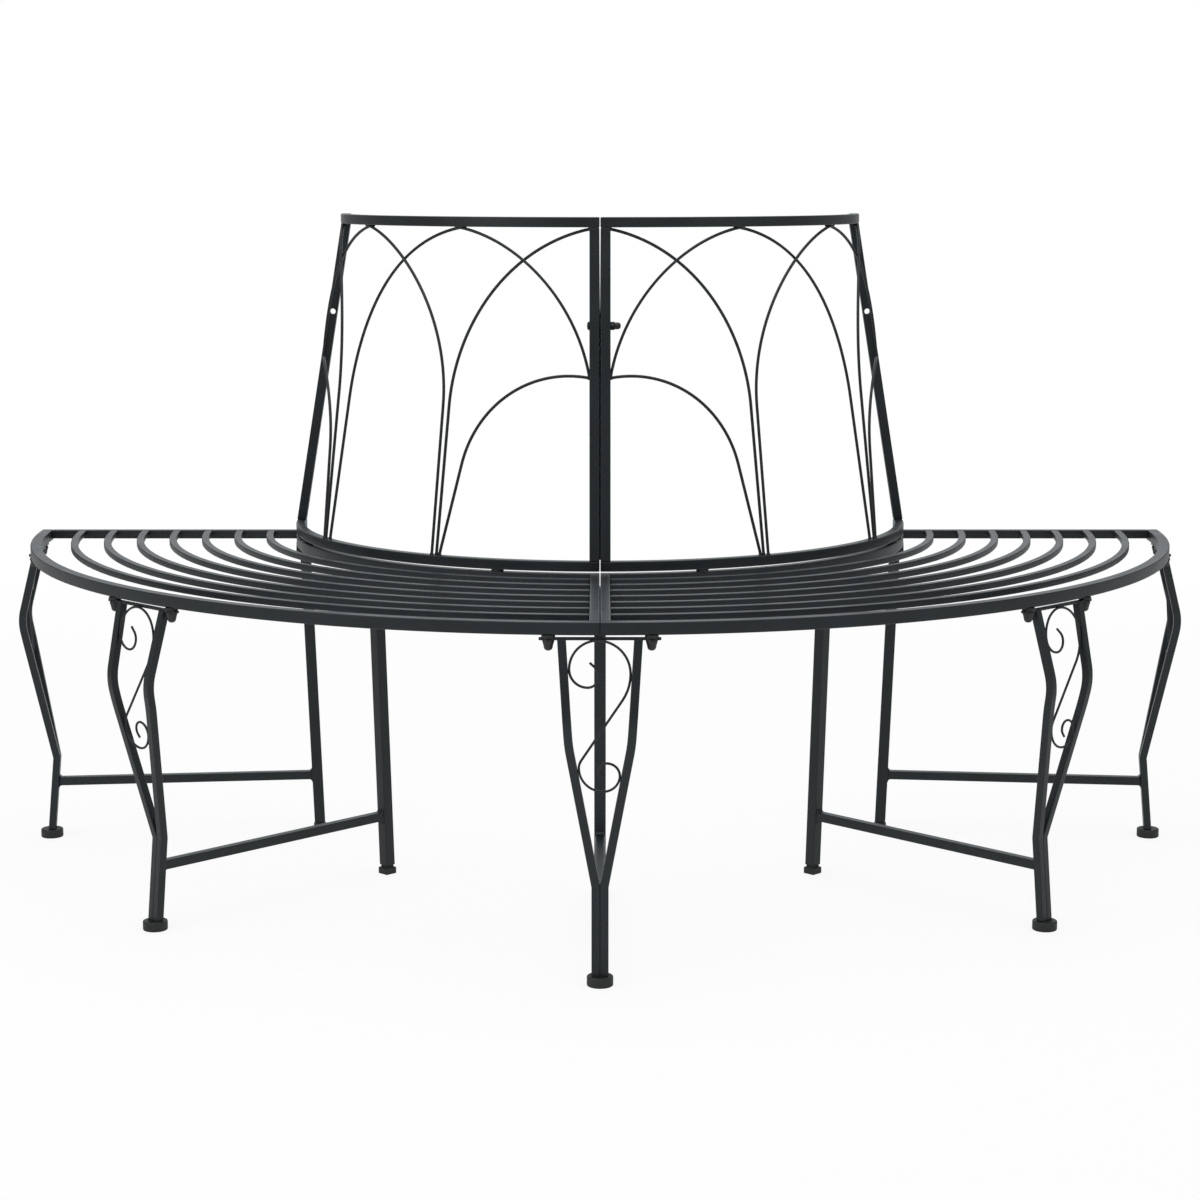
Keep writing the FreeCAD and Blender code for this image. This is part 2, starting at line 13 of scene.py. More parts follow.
import bpy
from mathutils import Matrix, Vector


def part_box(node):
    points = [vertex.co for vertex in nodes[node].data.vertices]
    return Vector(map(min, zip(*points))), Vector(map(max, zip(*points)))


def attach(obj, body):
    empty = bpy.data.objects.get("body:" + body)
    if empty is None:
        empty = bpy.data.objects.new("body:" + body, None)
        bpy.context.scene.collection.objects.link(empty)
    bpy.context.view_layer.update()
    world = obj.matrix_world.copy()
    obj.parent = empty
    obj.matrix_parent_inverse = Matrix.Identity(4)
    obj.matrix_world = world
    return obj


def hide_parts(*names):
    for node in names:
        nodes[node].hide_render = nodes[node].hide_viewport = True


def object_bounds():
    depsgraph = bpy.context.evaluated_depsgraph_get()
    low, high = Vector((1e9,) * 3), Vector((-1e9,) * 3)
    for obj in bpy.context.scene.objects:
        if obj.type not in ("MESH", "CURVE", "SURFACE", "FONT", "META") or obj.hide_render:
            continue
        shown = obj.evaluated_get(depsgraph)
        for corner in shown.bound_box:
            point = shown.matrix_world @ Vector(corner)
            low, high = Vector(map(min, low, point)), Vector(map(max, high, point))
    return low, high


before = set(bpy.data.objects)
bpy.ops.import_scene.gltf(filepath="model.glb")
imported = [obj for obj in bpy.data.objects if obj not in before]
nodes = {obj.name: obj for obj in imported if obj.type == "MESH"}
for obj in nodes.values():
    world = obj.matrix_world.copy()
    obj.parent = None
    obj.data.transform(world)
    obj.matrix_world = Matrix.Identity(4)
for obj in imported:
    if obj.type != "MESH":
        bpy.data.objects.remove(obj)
cad_low, cad_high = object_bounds()
print(len(nodes), "nodes in a box of", [round(v, 3) for v in cad_high - cad_low], "metres")

# %% [markdown]
# ## Sizes that the pieces share
#
# The drawing of the bench is round, about the middle of the tree. That line stands at
# the bench's open side, which is the back of the box. Most sizes are read from the
# nodes' own boxes, so that they follow the model. Small ones, such as a wire's thickness,
# can't be read from a box and are written down in millimetres.

# %% The tree's centre line and the main heights
MM = 0.001
tree_y = cad_high.y
rail_low, rail_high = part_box("right_seat_outer_rail")
seat_top, rail_underside = rail_high.z, rail_low.z
back_rail_low, back_rail_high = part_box("right_backrest_bottom_rail")
top_rail_low, top_rail_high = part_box("right_backrest_top_rail")
back_bottom, back_top = back_rail_high.z, top_rail_low.z
BACK_TUBE = back_rail_high.z - back_rail_low.z
back_bottom_radius = back_rail_high.x - BACK_TUBE / 2
back_top_radius = top_rail_high.x - BACK_TUBE / 2
SEAM_HALF_GAP = back_rail_low.x
plate_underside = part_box("leg_front_plates")[0].z
END_LEG_INWARDS = 6.3
LEG_ANGLES = [radians(a) for a in (END_LEG_INWARDS - 90, -45, 0, 45, 90 - END_LEG_INWARDS)]
BOLT_HEIGHT = 743 * MM
print("tree centre at y =", round(tree_y, 4), "- seat top", round(seat_top, 4))


def ring_point(radius, angle, z):
    """A point on a circle round the tree; the angle starts at +X and grows to the front."""
    return Vector((radius * cos(angle), tree_y - radius * sin(angle), z))


# %% [markdown]
# ## Small helpers
#
# Operators act on everything that is selected, so each step starts from an empty
# selection. One helper picks objects and makes the first one active, and another names a
# finished piece, puts it under its body and hides the nodes that it stands for.

# %% Selecting and finishing
def pick(*objects):
    """Select only these objects and make the first one active."""
    bpy.ops.object.select_all(action="DESELECT")
    for item in objects:
        item.select_set(True)
    bpy.context.view_layer.objects.active = objects[0]


def place_in_mesh(piece):
    """Put the place of a piece into its mesh, so that the object sits at the origin."""
    pick(piece)
    bpy.ops.object.transform_apply(location=True, rotation=True, scale=True)


def finish_piece(piece, name, material, stands_for=()):
    """Give a piece its name and its one material, put it under the root body, and hide the nodes
    that it replaces.
    """
    piece.name = name
    piece.data.name = name
    piece.data.materials.clear()
    piece.data.materials.append(material)
    place_in_mesh(piece)
    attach(piece, "root")
    if stands_for:
        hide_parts(*stands_for)
    return piece


def join(pieces):
    """Join the pieces into one object, which keeps them as separate forms."""
    pick(*pieces)
    bpy.ops.object.join()
    return bpy.context.object


print("helpers ready")

# %% [markdown]
# ## Colours and nodes
#
# Colours are written as the hex values that a screen shows. A render works with linear
# light, so one function turns each value over. One more function adds a shader node
# with its settings and its links, which keeps the materials short enough to read.

# %% Colour and node helpers
def linear(hex_colour):
    """sRGB hex to linear RGBA."""
    channels = [int(hex_colour[i:i + 2], 16) / 255 for i in (1, 3, 5)]
    light = [c / 12.92 if c <= 0.04045 else ((c + 0.055) / 1.055) ** 2.4 for c in channels]
    return (*light, 1.0)


def add_node(tree, kind, inputs=(), **settings):
    """Add a node; inputs maps a socket to a value or to another node's output socket."""
    node = tree.nodes.new(kind)
    for key, value in settings.items():
        setattr(node, key, value)
    for socket, value in dict(inputs).items():
        if isinstance(value, bpy.types.NodeSocket):
            tree.links.new(value, node.inputs[socket])
        else:
            node.inputs[socket].default_value = value
    return node


def new_material(name):
    """An empty material with a Principled shader, and the object's own coordinates."""
    material = bpy.data.materials.new(name)
    material.use_nodes = True
    tree = material.node_tree
    tree.nodes.clear()
    shader = add_node(tree, "ShaderNodeBsdfPrincipled")
    output = add_node(tree, "ShaderNodeOutputMaterial")
    tree.links.new(shader.outputs["BSDF"], output.inputs["Surface"])
    place = add_node(tree, "ShaderNodeTexCoord").outputs["Object"]
    return material, tree, shader, place


print("anthracite in linear light:", [round(c, 4) for c in linear("#171C1F")])

# %% [markdown]
# ## Powder coat
#
# The tubes are sprayed with dry polyester powder and baked, which leaves an even satin
# skin. Seen close it is not flat: the melted powder draws into low waves about two
# millimetres across, called orange peel, with a finer grit on top. The colour is an
# anthracite with a little blue-green in it. A real orange peel is only some microns high,
# so its height here is raised to be seen at all in a view of the whole bench.

# %% Powder-coated steel
COAT_IOR = 1.5
COAT_GLOSS = 0.35
ORANGE_PEEL_SIZE = 2.2 * MM
GRIT_SIZE = 0.5 * MM
CLOUD_SIZE = 60 * MM
PEEL_HEIGHT, GRIT_HEIGHT = 0.12 * MM, 0.04 * MM


def powder_coat(name, dark, light, roughness):
    """A satin coat between two colours: wide clouds, orange peel and grit."""
    material, tree, shader, place = new_material(name)
    cloud = add_node(tree, "ShaderNodeTexNoise", {"Vector": place, "Scale": 1 / CLOUD_SIZE,
                                                  "Detail": 3.0})
    peel = add_node(tree, "ShaderNodeTexNoise", {"Vector": place, "Scale": 1 / ORANGE_PEEL_SIZE,
                                                 "Detail": 2.0})
    grit = add_node(tree, "ShaderNodeTexNoise", {"Vector": place, "Scale": 1 / GRIT_SIZE,
                                                 "Detail": 1.0})
    mixed = add_node(tree, "ShaderNodeMath", {0: cloud.outputs["Fac"], 1: grit.outputs["Fac"]},
                     operation="MULTIPLY")
    spread = add_node(tree, "ShaderNodeMapRange", {"Value": mixed.outputs[0], "From Min": 0.12,
                                                   "From Max": 0.42})
    colour = add_node(tree, "ShaderNodeMix", {"Factor": spread.outputs[0], "A": linear(dark),
                                              "B": linear(light)}, data_type="RGBA")
    tree.links.new(colour.outputs["Result"], shader.inputs["Base Color"])
    sheen = add_node(tree, "ShaderNodeMapRange", {"Value": cloud.outputs["Fac"],
                                                  "To Min": roughness - 0.06,
                                                  "To Max": roughness + 0.08})
    tree.links.new(sheen.outputs[0], shader.inputs["Roughness"])
    wave = add_node(tree, "ShaderNodeBump", {"Height": peel.outputs["Fac"], "Strength": 0.35,
                                             "Distance": PEEL_HEIGHT})
    fine = add_node(tree, "ShaderNodeBump", {"Height": grit.outputs["Fac"], "Strength": 0.3,
                                             "Distance": GRIT_HEIGHT, "Normal": wave.outputs[0]})
    tree.links.new(fine.outputs["Normal"], shader.inputs["Normal"])
    shader.inputs["IOR"].default_value = COAT_IOR
    shader.inputs["Specular IOR Level"].default_value = COAT_GLOSS
    return material


anthracite = powder_coat("powder_coated_steel_tube", "#171C1F", "#21282C", 0.38)
anthracite_wire = powder_coat("powder_coated_steel_wire", "#161A1D", "#1E2428", 0.44)
weld_coat = powder_coat("powder_coated_weld", "#15191B", "#1F2427", 0.48)
print("powder coats made:", anthracite.name, anthracite_wire.name, weld_coat.name)

# %% [markdown]
# ## Black plastic and black bolts
#
# Feet, spacers and cap nuts are injection moulded in black polyethylene. The mould was
# spark eroded, so the skin has a fine matt grain. The cap nuts came from a smoother
# mould and shine more. The bolts are blackened steel: metal under a thin oxide, with a
# faint brown cast.

# %% Moulded plastic and blackened steel
POLYETHYLENE_IOR = 1.51
STAIN_SIZE = 4 * MM


def moulded_plastic(name, colour, roughness, grain_size, grain_height):
    """A plastic whose grain is seen in its height, its gloss and its two colours."""
    material, tree, shader, place = new_material(name)
    grain = add_node(tree, "ShaderNodeTexNoise", {"Vector": place, "Scale": 1 / grain_size,
                                                  "Detail": 2.0})
    tone = add_node(tree, "ShaderNodeMix", {"Factor": grain.outputs["Fac"],
                                            "A": linear(colour[0]), "B": linear(colour[1])},
                    data_type="RGBA")
    tree.links.new(tone.outputs["Result"], shader.inputs["Base Color"])
    matt = add_node(tree, "ShaderNodeMapRange", {"Value": grain.outputs["Fac"],
                                                 "To Min": roughness - 0.08,
                                                 "To Max": roughness + 0.08})
    tree.links.new(matt.outputs[0], shader.inputs["Roughness"])
    bump = add_node(tree, "ShaderNodeBump", {"Height": grain.outputs["Fac"], "Strength": 0.4,
                                             "Distance": grain_height})
    tree.links.new(bump.outputs["Normal"], shader.inputs["Normal"])
    shader.inputs["IOR"].default_value = POLYETHYLENE_IOR
    return material


def blackened_steel(name):
    """Dark metal with soft stains."""
    material, tree, shader, place = new_material(name)
    stain = add_node(tree, "ShaderNodeTexNoise", {"Vector": place, "Scale": 1 / STAIN_SIZE,
                                                  "Detail": 4.0})
    tone = add_node(tree, "ShaderNodeMix", {"Factor": stain.outputs["Fac"],
                                            "A": linear("#1C1E20"), "B": linear("#2A2725")},
                    data_type="RGBA")
    tree.links.new(tone.outputs["Result"], shader.inputs["Base Color"])
    shader.inputs["Metallic"].default_value = 0.7
    shader.inputs["Roughness"].default_value = 0.38
    return material


foot_plastic = moulded_plastic("moulded_polyethylene_foot", ("#131516", "#1C1F20"), 0.55,
                               0.9 * MM, 0.08 * MM)
cap_plastic = moulded_plastic("moulded_polyethylene_cap", ("#0D0D0E", "#151516"), 0.42,
                              1.2 * MM, 0.03 * MM)
bolt_steel = blackened_steel("blackened_steel_bolt")
print("plastics and bolt steel made")

# %% [markdown]
# ## Tubes with rounded corners
#
# Square tube is rolled from strip, so its corners are round, with a radius about as
# large as the wall. On the finished bench that radius is what catches a thin line of
# light along every tube. The solid model has sharp corners. A copy of each tube's mesh
# has its double points merged and its flat faces dissolved, and then gets a bevel on the
# sharp edges along its run: the small steps of a rolled bar stay as they are, and
# weighted normals keep the wide faces flat to the eye.

# %% Round the corners of the square tubes
STEP_ANGLE = radians(0.4)
SHARP_ANGLE = radians(30)
SMOOTH_BELOW = 35
SLAT_CORNER, FRAME_CORNER, LEG_CORNER, PLATE_CORNER = 1.2 * MM, 1.4 * MM, 1.2 * MM, 3.0 * MM


def run_direction(run, place):
    """Which way a tube runs at a place: up, outwards from the tree, or round it."""
    if run == "up":
        return Vector((0, 0, 1))
    outwards = Vector((place.x, place.y - tree_y, 0)).normalized()
    return outwards if run == "outwards" else Vector((-outwards.y, outwards.x, 0))


def weigh_normals(piece):
    """Smooth the round corners and keep the wide faces flat to the eye."""
    pick(piece)
    bpy.ops.object.shade_smooth_by_angle(angle=radians(SMOOTH_BELOW))
    bpy.ops.object.modifier_add(type="WEIGHTED_NORMAL")
    piece.modifiers[-1].keep_sharp = True
    bpy.ops.object.modifier_apply(modifier=piece.modifiers[-1].name)


def rounded_tube(node, run, corner):
    """A copy of a tube's solid with the edges along its run rounded."""
    piece = bpy.data.objects.new(node + "_tube", nodes[node].data.copy())
    bpy.context.scene.collection.objects.link(piece)
    pick(piece)
    bpy.ops.object.mode_set(mode="EDIT")
    bpy.ops.mesh.select_mode(type="EDGE")
    bpy.ops.mesh.select_all(action="SELECT")
    bpy.ops.mesh.remove_doubles(threshold=0.01 * MM)
    bpy.ops.mesh.dissolve_limited(angle_limit=STEP_ANGLE)
    bpy.ops.mesh.select_all(action="DESELECT")
    bpy.ops.mesh.edges_select_sharp(sharpness=SHARP_ANGLE)
    bpy.ops.object.mode_set(mode="OBJECT")
    mesh = piece.data
    for edge in mesh.edges:
        first, last = (mesh.vertices[i].co for i in edge.vertices)
        along = (last - first).normalized()
        edge.select = edge.select and abs(along.dot(run_direction(run, (first + last) / 2))) > 0.5
    bpy.ops.object.mode_set(mode="EDIT")
    bpy.ops.mesh.bevel(offset=corner, segments=3, profile=0.5, affect="EDGES")
    bpy.ops.object.mode_set(mode="OBJECT")
    weigh_normals(piece)
    return finish_piece(piece, node + "_tube", anthracite, [node])


tubes = {}
for name in sorted(nodes):
    if name.startswith("seat_slats"):
        tubes[name] = rounded_tube(name, "round", SLAT_CORNER)
    elif name.endswith("_rail"):
        tubes[name] = rounded_tube(name, "round", FRAME_CORNER)
    elif name.endswith(("_back_bar", "_seam_bar")):
        tubes[name] = rounded_tube(name, "outwards", FRAME_CORNER)
    elif name.endswith("_upright"):
        tubes[name] = rounded_tube(name, "up", FRAME_CORNER)
    elif name.endswith(("_left_tube", "_right_tube", "_rear_tube")):
        tubes[name] = rounded_tube(name, "up", LEG_CORNER)
    elif name.endswith("_stretcher"):
        tubes[name] = rounded_tube(name, "outwards", LEG_CORNER)
    elif name in ("leg_front_plates", "leg_rear_plates"):
        tubes[name] = rounded_tube(name, "up", PLATE_CORNER)
print(len(tubes), "tubes, bars and plates have rounded corners")

# %% [markdown]
# Two small corrections make these pieces look as they do on the finished bench. The
# plates are shown thinner than in the solid model, and the front ones narrower too, so
# that light shows between a plate and its rail. And the two uprights at the seam are
# pulled together by their bolt: from the bolt down they touch at the back, which leaves
# a dark line in front, and above it they spring apart a little. Each upright is moved
# towards the other by its own amount, so a negative one opens the seam.

# %% Thin plates and a closed seam
PLATE_SHOWN = 1.0 * MM
PLATE_NARROWED = 0.7
SEAM_CLOSED, SEAM_LEFT_OPEN = 0.495 * MM, -0.2 * MM
SEAM_OPENS_AT = BOLT_HEIGHT + BACK_TUBE
back_slope = (back_top_radius - back_bottom_radius) / (back_top - back_bottom)
outer_rail_centre = rail_high.x - (seat_top - rail_underside) / 2

for name in ("leg_front_plates", "leg_rear_plates"):
    for vertex in tubes[name].data.vertices:
        x, y, z = vertex.co
        if z > plate_underside + PLATE_SHOWN / 2:
            vertex.co.z = plate_underside + PLATE_SHOWN
        if name == "leg_front_plates":
            angle = min(LEG_ANGLES, key=lambda a: abs(a - atan2(x, tree_y - y)))
            outwards = Vector((sin(angle), -cos(angle), 0))
            off_middle = (Vector((x, y - tree_y, 0))).dot(outwards) - outer_rail_centre
            vertex.co -= outwards * off_middle * (1 - PLATE_NARROWED)
plate_top = plate_underside + PLATE_SHOWN

for name in ("left_backrest_seam_upright", "right_backrest_seam_upright"):
    pick(tubes[name])
    bpy.ops.object.mode_set(mode="EDIT")
    bpy.ops.mesh.select_all(action="SELECT")
    bpy.ops.mesh.bisect(plane_co=(0, 0, SEAM_OPENS_AT), plane_no=(0, 0, 1))
    bpy.ops.object.mode_set(mode="OBJECT")
    for vertex in tubes[name].data.vertices:
        side = 1 if vertex.co.x > 0 else -1
        share = (abs(vertex.co.x) - SEAM_HALF_GAP) / BACK_TUBE
        middle = back_bottom_radius + (vertex.co.z - back_bottom) * back_slope
        in_front = tree_y - vertex.co.y > middle
        above = vertex.co.z > SEAM_OPENS_AT + BACK_TUBE / 2
        closed = SEAM_LEFT_OPEN if in_front or above else SEAM_CLOSED
        vertex.co.x -= side * closed * (1 - share)
    weigh_normals(tubes[name])
print("plates", round(PLATE_SHOWN / MM, 1), "mm thick, seam open at the top by",
      round(2 * (SEAM_HALF_GAP - SEAM_LEFT_OPEN) / MM, 1), "mm")

# %% [markdown]
# ## Arched wires of the backrest
#
# Each panel has eight wires of 4 mm. They are bent flat and lie on the leaning face of
# the backrest in two layers, one the mirror image of the other, so that they cross as
# pointed arches. A long wire is one arc that leaves the top rail at a slant, turns plumb
# and then runs straight down to its foot. The low arches leave the uprights nearly level.
# The lines are worked out here on a flat drawing and rolled onto the cone. A poly curve
# with a round bevel then gives each wire its thickness, with a point every two degrees,
# fine enough to look smooth. Two wires of each panel, the ones beside the end upright,
# spring out a little between their welds and leave the bolt hole free. They are named by
# the number of their line and by whether they are of the mirrored layer.

# %% Lines of the arched wires
WIRE = 4 * MM
WIRE_CLEARANCE = 0.1 * MM
ARCH_RADIUS, ARCH_REACH, ARCH_PITCH = 232 * MM, 204 * MM, 200.8 * MM
LOW_ARCH_RADIUS, LOW_ARCH_REACH, LOW_ARCH_HEIGHT = 142 * MM, 168 * MM, 230 * MM
BEND_STEP = radians(2)
ARCHES = 3

mean_radius = (back_bottom_radius + back_top_radius) / 2
arch_span = pi / 2 / ARCHES * mean_radius
panel_span = arch_span * ARCHES
foot_pitch = WIRE + 2 * WIRE_CLEARANCE
upright_side = BACK_TUBE + SEAM_HALF_GAP


def on_backrest(x, z, lift):
    """Roll a point of the flat drawing onto the leaning face."""
    share = (z - back_bottom) / (back_top - back_bottom)
    radius = back_bottom_radius + (back_top_radius - back_bottom_radius) * share + lift
    return ring_point(radius, x / mean_radius, z)


def limb(start_x, start_z, foot_x, radius, reach):
    """Flat line of one wire: an arc that turns plumb at reach, then a straight foot."""
    centre_x = reach - radius
    centre_z = start_z - sqrt(radius**2 - centre_x**2)
    first = atan2(start_z - centre_z, -centre_x)
    gap_x, gap_z = foot_x - start_x - centre_x, back_bottom - centre_z
    last = atan2(gap_z, gap_x) + acos(min(1.0, radius / hypot(gap_x, gap_z)))
    steps = ceil((first - last) / BEND_STEP)
    line = []
    for i in range(steps + 1):
        turn = first + (last - first) * i / steps
        line.append((start_x + centre_x + radius * cos(turn), centre_z + radius * sin(turn)))
    return line + [(foot_x, back_bottom)]


def between_uprights(line):
    """Cut a flat line off where it meets the side of an upright."""
    edges = (upright_side, panel_span - upright_side)
    kept = [point for point in line if edges[0] < point[0] < edges[1]]
    for end, edge in ((0, edges[0]), (-1, edges[1])):
        if kept[end] is line[end]:
            continue
        number = line.index(kept[end])
        (x0, z0), (x1, z1) = line[number], line[number - 1 if end == 0 else number + 1]
        kept.insert(0 if end == 0 else len(kept), (edge, z0 + (z1 - z0) * (edge - x0) / (x1 - x0)))
    return kept


feet = [arch_span, 2 * arch_span - foot_pitch, panel_span]
limbs = [limb(i * ARCH_PITCH, back_top, foot, ARCH_RADIUS, ARCH_REACH)
         for i, foot in enumerate(feet)]
limbs.append(limb(upright_side, back_bottom + LOW_ARCH_HEIGHT, arch_span - foot_pitch,
                  LOW_ARCH_RADIUS, LOW_ARCH_REACH))
limbs = [between_uprights(line) for line in limbs]
print(len(limbs), "limbs with", [len(line) for line in limbs], "points")


# %% Make the wires round
ROD_SMOOTH_BELOW = 50


def round_rod(points, diameter, swell=None):
    """A round rod along points: a curve with a round bevel, turned into a mesh.

    swell gives each point's own thickness as a share of the diameter."""
    bpy.ops.object.select_all(action="DESELECT")
    bpy.ops.curve.primitive_nurbs_path_add()
    rod = bpy.context.object
    rod.location = (0, 0, 0)
    curve = rod.data
    curve.splines.clear()
    line = curve.splines.new("POLY")
    line.points.add(len(points) - 1)
    for place, point, share in zip(line.points, points, swell or [1.0] * len(points)):
        place.co = (*point, 1)
        place.radius = share
    curve.bevel_depth = diameter / 2
    curve.bevel_resolution = 2
    curve.use_fill_caps = True
    bpy.ops.object.convert(target="MESH")
    bpy.ops.object.shade_smooth_by_angle(angle=radians(ROD_SMOOTH_BELOW))
    return bpy.context.object


def mirror_points(points):
    return [Vector((-p.x, p.y, p.z)) for p in points]


COLLAR_PROFILE = [(0.0, 1.4), (0.7, 1.35), (1.4, 1.25), (2.2, 1.1), (3.0, 0.95)]


def weld_collar(end, inner):
    """A small cone of weld where a wire ends on a tube: (how far along, share of the wire)."""
    along = (inner - end).normalized()
    return round_rod([end + along * step * MM for step, share in COLLAR_PROFILE], WIRE,
                     [share for step, share in COLLAR_PROFILE])


def sprung_lift(z, most, ends_at):
    """How far a wire springs out at a height: from the top rail down to a share of the panel."""
    share = (back_top - z) / (back_top - back_bottom) / ends_at
    return most * sin(pi * min(1.0, share))


END_ARCH, CUT_ARCH = (0, False), (2, True)
SPRUNG = {END_ARCH: (10 * MM, 0.85), CUT_ARCH: (7.5 * MM, 0.62)}
for side in ("right", "left"):
    rods, collars = [], []
    for number, line in enumerate(limbs):
        for flipped in (False, True):
            lift = (WIRE + WIRE_CLEARANCE) / 2 * (-1 if flipped else 1)
            flat = [(panel_span - x, z) for x, z in line] if flipped else line
            most, ends_at = SPRUNG.get((number, flipped), (0, 1))
            rolled = [on_backrest(x, z, lift + sprung_lift(z, most, ends_at)) for x, z in flat]
            rolled = rolled if side == "right" else mirror_points(rolled)
            rods.append(round_rod(rolled, WIRE))
            collars += [weld_collar(rolled[0], rolled[1]), weld_collar(rolled[-1], rolled[-2])]
    node = side + "_backrest_wires"
    wires = finish_piece(join(rods), side + "_backrest_arches",
                         anthracite_wire, [node])
    finish_piece(join(collars), side + "_backrest_welds", weld_coat)
    print(wires.name, len(wires.data.polygons), "faces")

# %% [markdown]
# ## Scrolls in the legs
#
# A scroll is one 3 mm wire, bent cold round pins into an S with a curl at both ends. It
# touches the plate above it and both front tubes, so its bends are worked out from
# those: the upper loop is as wide as the tubes leave room for, and the straight run is
# as long as it takes for the lower loop to reach the other tube. A wire bender's
# own list is used: how far to run straight, then the bend's radius and how far to turn.
# The finished scroll leans outwards with the tubes, and bows a little between its ends.

# %% Line of the scroll
SCROLL_WIRE = 3 * MM
SCROLL_TOP_SHIFT = -2.9 * MM
SCROLL_TOP_OUT = 6.0 * MM
SCROLL_LOW_OUT = 11.5 * MM
SCROLL_LOW_HEIGHT = 237 * MM
SCROLL_BOW, SCROLL_BOW_LENGTH = 6 * MM, 1.05
SCROLL_CURL, SCROLL_CURL_END = 21 * MM, 13 * MM
SCROLL_NECK, SCROLL_HEEL = 54 * MM, 16 * MM
SCROLL_FOOT, SCROLL_LOOP_END, SCROLL_FOOT_END = 28 * MM, 15 * MM, 9.5 * MM
SCROLL_TILT, SCROLL_LOOP_TURN = radians(34), radians(85)
UPPER_END_TURN, UPPER_TIP = radians(138), 8.5 * MM
LOWER_END_TURN, LOWER_TIP = radians(130), 6 * MM
SCROLL_STEP = radians(8)
BOW_SPLAY, BOW_HEIGHT, ANKLE_HEIGHT = 72 * MM, 290 * MM, 116 * MM
TOP_SPLAY, LEG_TUBE = 88 * MM, 10 * MM
RIGHT_ANGLE = pi / 2

touch = SCROLL_WIRE / 2
upper_slope = (TOP_SPLAY - BOW_SPLAY) / 2 / (plate_underside - BOW_HEIGHT)
lower_slope = (BOW_SPLAY - LEG_TUBE) / 2 / (BOW_HEIGHT - ANKLE_HEIGHT)


def gap_to_tube(x, z, slope):
    """How far a point is from the inner face of the front tube on the +X side."""
    tube_x = BOW_SPLAY / 2 + (z - BOW_HEIGHT) * slope
    return (tube_x - x) / hypot(1, slope) - LEG_TUBE / 2


def bent_wire(start, heading, bends):
    """Flat points of a wire made of (straight run, bend radius, turn) steps."""
    points = [start]
    for run, radius, turn in bends:
        corner = points[-1] + Vector((cos(heading), sin(heading))) * run
        side = radius if turn > 0 else -radius
        centre = corner + Vector((-sin(heading), cos(heading))) * side
        if run:
            points.append(corner)
        steps = ceil(abs(turn) / SCROLL_STEP)
        for i in range(1, steps + 1):
            angle = heading + turn * i / steps
            points.append(centre + Vector((sin(angle), -cos(angle))) * side)
        heading += turn
    return points


def scroll_line():
    """The whole scroll on a flat drawing, from the tip of its upper curl to the lower one."""
    top = Vector((SCROLL_TOP_SHIFT, plate_underside - touch))
    share = hypot(1, upper_slope) / (hypot(1, upper_slope) + upper_slope)
    right = gap_to_tube(top.x, plate_underside, upper_slope) * share - touch
    left = gap_to_tube(-top.x, plate_underside, upper_slope) * share - touch
    curl = [(0, left, RIGHT_ANGLE), (0, SCROLL_CURL, RIGHT_ANGLE),
            (0, SCROLL_CURL_END, UPPER_END_TURN), (UPPER_TIP, SCROLL_CURL_END, 0)]
    behind = bent_wire(top, pi, curl)
    neck = [(0, right, -RIGHT_ANGLE), (0, SCROLL_NECK, -SCROLL_TILT)]
    heel = bent_wire(top, 0, neck + [(0, SCROLL_HEEL, SCROLL_TILT)])[-1]
    spare = gap_to_tube(-heel.x - SCROLL_FOOT, heel.y, lower_slope) - SCROLL_FOOT - touch
    run = spare * hypot(1, lower_slope) / (cos(SCROLL_TILT) * lower_slope + sin(SCROLL_TILT))
    foot = [(run, SCROLL_HEEL, SCROLL_TILT), (0, SCROLL_FOOT, RIGHT_ANGLE)]
    low = bent_wire(top, 0, neck + foot)[-1]
    share = hypot(1, lower_slope) / (hypot(1, lower_slope) - lower_slope)
    loop = (gap_to_tube(low.x, low.y, lower_slope) - touch) * share
    end = [(0, loop, SCROLL_LOOP_TURN), (0, SCROLL_LOOP_END, pi - SCROLL_LOOP_TURN),
           (0, SCROLL_FOOT_END, LOWER_END_TURN), (LOWER_TIP, SCROLL_FOOT_END, 0)]
    return behind[:0:-1] + bent_wire(top, 0, neck + foot + end)


scroll_lean = (SCROLL_LOW_OUT - SCROLL_TOP_OUT) / (plate_underside - SCROLL_LOW_HEIGHT)
flat_scroll = scroll_line()


def scroll_out(z):
    """How far the scroll stands out from the rail: it leans, and bows with the tubes."""
    depth = plate_underside - z
    share = depth / (plate_underside - SCROLL_LOW_HEIGHT) / SCROLL_BOW_LENGTH
    return SCROLL_TOP_OUT + depth * scroll_lean + SCROLL_BOW * sin(pi * min(1.0, share))


print("scroll line has", len(flat_scroll), "points")

# %% Five scrolls, one in each leg
def leg_place(radius, side, z, angle):
    """A point of a leg drawn at the front and then turned round the tree."""
    x, y = side, -radius
    turned_x = x * cos(angle) - y * sin(angle)
    turned_y = x * sin(angle) + y * cos(angle)
    return Vector((turned_x, turned_y + tree_y, z))


def copies_at(model, places, name, material, stands_for=()):
    """Copy one model to many places, each copy with its own mesh, and join the copies."""
    copies = []
    for place, angle in places:
        pick(model)
        bpy.ops.object.duplicate(linked=False)
        copy = bpy.context.object
        copy.location = place
        copy.rotation_euler = (0, 0, angle)
        place_in_mesh(copy)
        copies.append(copy)
    bpy.data.objects.remove(model)
    return finish_piece(join(copies), name, material, stands_for)


scrolls = []
for angle in LEG_ANGLES:
    line = []
    for point in flat_scroll:
        out = outer_rail_centre + scroll_out(point.y)
        line.append(leg_place(out, point.x, point.y, angle))
    scrolls.append(round_rod(line, SCROLL_WIRE))
scroll_work = finish_piece(join(scrolls), "leg_scroll_wires", anthracite_wire,
                           ["leg_scrolls"])
print(scroll_work.name, len(scroll_work.data.polygons), "faces")

